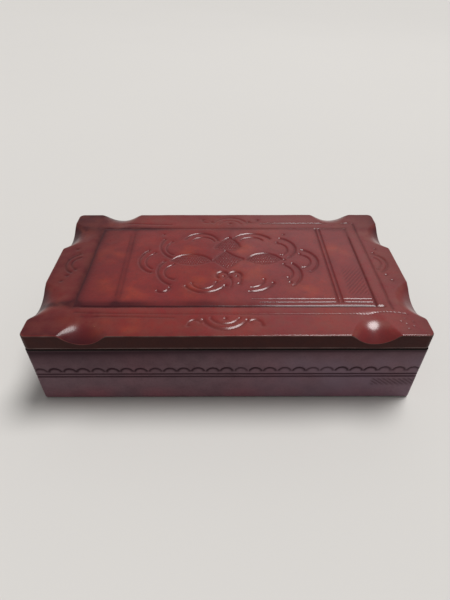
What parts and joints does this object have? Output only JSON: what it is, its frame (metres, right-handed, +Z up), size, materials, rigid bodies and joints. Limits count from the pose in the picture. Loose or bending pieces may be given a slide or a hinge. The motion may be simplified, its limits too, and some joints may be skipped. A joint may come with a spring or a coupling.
{
  "type": "leather box",
  "caption": "Low rectangular box covered in tooled oxblood leather, with a hinged lid scooped out along its upper edge, on small brass butt hinges.",
  "frame": {"origin": "centre of the underside, on the surface that the box stands on", "axes": "+X along the long side, -Y out of the front, +Z up; the lid hinges at the back, on +Y"},
  "size_m": [0.3, 0.177, 0.072],
  "materials": {
    "leather_lid": "tooled oxblood leather, waxed and polished, dark in the recesses",
    "leather_body": "tooled oxblood leather, waxed, darker than the lid",
    "timber": "bare planed cedar",
    "baize_base": "dark green wool baize",
    "lining": "dark green wool baize on card",
    "brass": "aged brass, lightly polished"
  },
  "bodies": {
    "box": {"back_board": "timber", "base_cover": "baize_base", "body_leather": "leather_body", "bottom_panel": "timber", "front_board": "timber", "hinge_left_box_leaf": "brass", "hinge_left_box_screw_1": "brass", "hinge_left_box_screw_2": "brass", "hinge_left_box_screw_3": "brass", "hinge_left_pin": "brass", "hinge_right_box_leaf": "brass", "hinge_right_box_screw_1": "brass", "hinge_right_box_screw_2": "brass", "hinge_right_box_screw_3": "brass", "hinge_right_pin": "brass", "left_board": "timber", "lining_back": "lining", "lining_floor": "lining", "lining_front": "lining", "lining_left": "lining", "lining_right": "lining", "right_board": "timber"},
    "lid": {"hinge_left_lid_leaf": "brass", "hinge_left_lid_screw_1": "brass", "hinge_left_lid_screw_2": "brass", "hinge_left_lid_screw_3": "brass", "hinge_right_lid_leaf": "brass", "hinge_right_lid_screw_1": "brass", "hinge_right_lid_screw_2": "brass", "hinge_right_lid_screw_3": "brass", "lid_board": "timber", "lid_leather": "leather_lid", "lid_lining": "lining"}
  },
  "joints": [
    {"name": "lid_hinge", "type": "hinge", "parent": "box", "child": "lid", "pos_m": [0, 0.0851, 0.058], "axis": [-1, 0, 0], "range_deg": [0, 100]}
  ]
}
